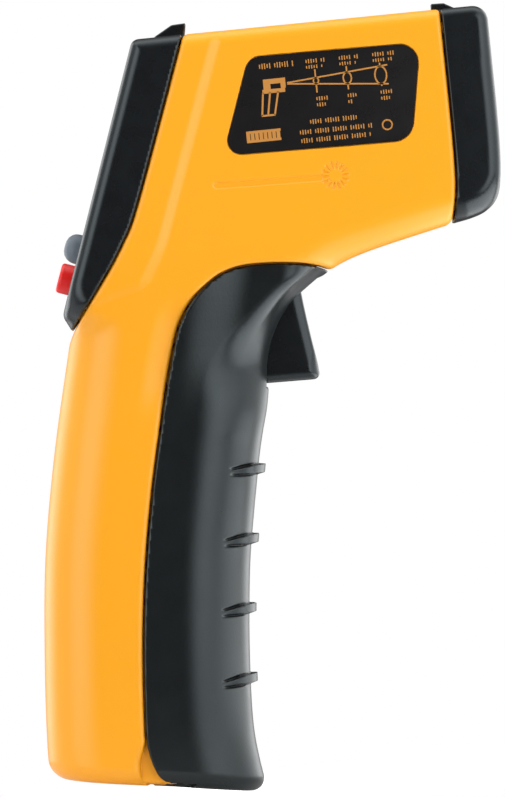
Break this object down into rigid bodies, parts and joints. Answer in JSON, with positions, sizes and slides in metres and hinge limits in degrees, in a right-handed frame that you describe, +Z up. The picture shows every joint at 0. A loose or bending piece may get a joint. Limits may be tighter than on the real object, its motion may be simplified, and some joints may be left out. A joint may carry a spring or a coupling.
{
  "type": "infrared thermometer",
  "caption": "Pistol-grip infrared thermometer: boxy barrel with a lens and aiming laser in the nose, a display on the back, a trigger, and a grip that swings open over the batteries.",
  "frame": {"origin": "under the middle of the object's box, at the height of its lowest point", "axes": "+X forwards along the line of sight, +Z up with the barrel level, +Y to the user's left; y = 0 is the casing's parting plane"},
  "size_m": [0.101, 0.043, 0.153],
  "materials": {
    "orange_shell": "fine-textured moulded plastic, orange-yellow",
    "black_shell": "satin moulded plastic, near black",
    "label": null,
    "grey_button": "grey silicone-like cap",
    "red_button": "red moulded cap",
    "board": "green circuit board laminate",
    "component": "black moulded component body",
    "steel": "plain steel",
    "brass": "plain brass",
    "window": "clear acrylic window",
    "lens": "milky infrared lens plastic",
    "display": "liquid crystal display glass",
    "white_plastic": "white moulded plastic",
    "cell": "printed sleeve on a steel can"
  },
  "bodies": {
    "housing": {"casing_right": "orange_shell", "casing_left": "orange_shell", "label_right": "label", "label_left": "label", "nose_cap": "black_shell", "display_bezel": "black_shell", "door_hinge_pin": "steel", "trigger_pin": "steel", "trigger_bracket": "component", "trigger_board": "board", "trigger_switch": "component", "infrared_lens": "lens", "optic_tube": "component", "thermopile_sensor": "steel", "sensor_board": "board", "laser_module": "brass", "laser_holder": "component", "main_board": "board", "controller_chip": "component", "buzzer": "component", "display_window": "window", "display_glass": "display", "display_backlight": "white_plastic", "display_board": "board", "switch_left": "component", "switch_right": "component", "switch_mode": "component", "battery_tray": "component", "battery_1": "cell", "battery_2": "cell", "contact_spring_1": "steel", "contact_spring_2": "steel", "contact_plate_1": "brass", "contact_plate_2": "brass", "casing_screw_1": "steel", "casing_screw_2": "steel", "casing_screw_3": "steel", "casing_screw_4": "steel", "casing_screw_5": "steel", "casing_screw_6": "steel"},
    "trigger": {"trigger": "black_shell", "trigger_spring": "steel"},
    "plunger": {"switch_plunger": "white_plastic"},
    "left_button": {"button_left": "grey_button"},
    "right_button": {"button_right": "grey_button"},
    "mode_button": {"button_mode": "red_button"},
    "door": {"grip_door": "black_shell"}
  },
  "joints": [
    {"name": "trigger_pull", "type": "hinge", "parent": "housing", "child": "trigger", "pos_m": [0.0025, 0, 0.1005], "axis": [0, 1, 0], "range_deg": [0, 9], "stiffness_Nm_per_rad": 0.2, "springref_deg": -5.73},
    {"name": "plunger_slide", "type": "slide", "parent": "housing", "child": "plunger", "axis": [-1, 0, 0], "range_m": [0, 0.002]},
    {"name": "left_button_press", "type": "slide", "parent": "housing", "child": "left_button", "axis": [0.9367, 0, -0.3502], "range_m": [0, 0.0009], "stiffness_N_per_m": 1000, "springref_m": -0.0006},
    {"name": "right_button_press", "type": "slide", "parent": "housing", "child": "right_button", "axis": [0.9367, 0, -0.3502], "range_m": [0, 0.0009], "stiffness_N_per_m": 1000, "springref_m": -0.0006},
    {"name": "mode_button_press", "type": "slide", "parent": "housing", "child": "mode_button", "axis": [0.9367, 0, -0.3502], "range_m": [0, 0.0009], "stiffness_N_per_m": 1000, "springref_m": -0.0006},
    {"name": "door_open", "type": "hinge", "parent": "housing", "child": "door", "pos_m": [-0.0264, 0, 0.0067], "axis": [0, 1, 0], "range_deg": [0, 75]}
  ],
  "couplings": [
    {"joint": "plunger_slide", "follows": "trigger_pull", "m_per_rad": 0.0125}
  ]
}
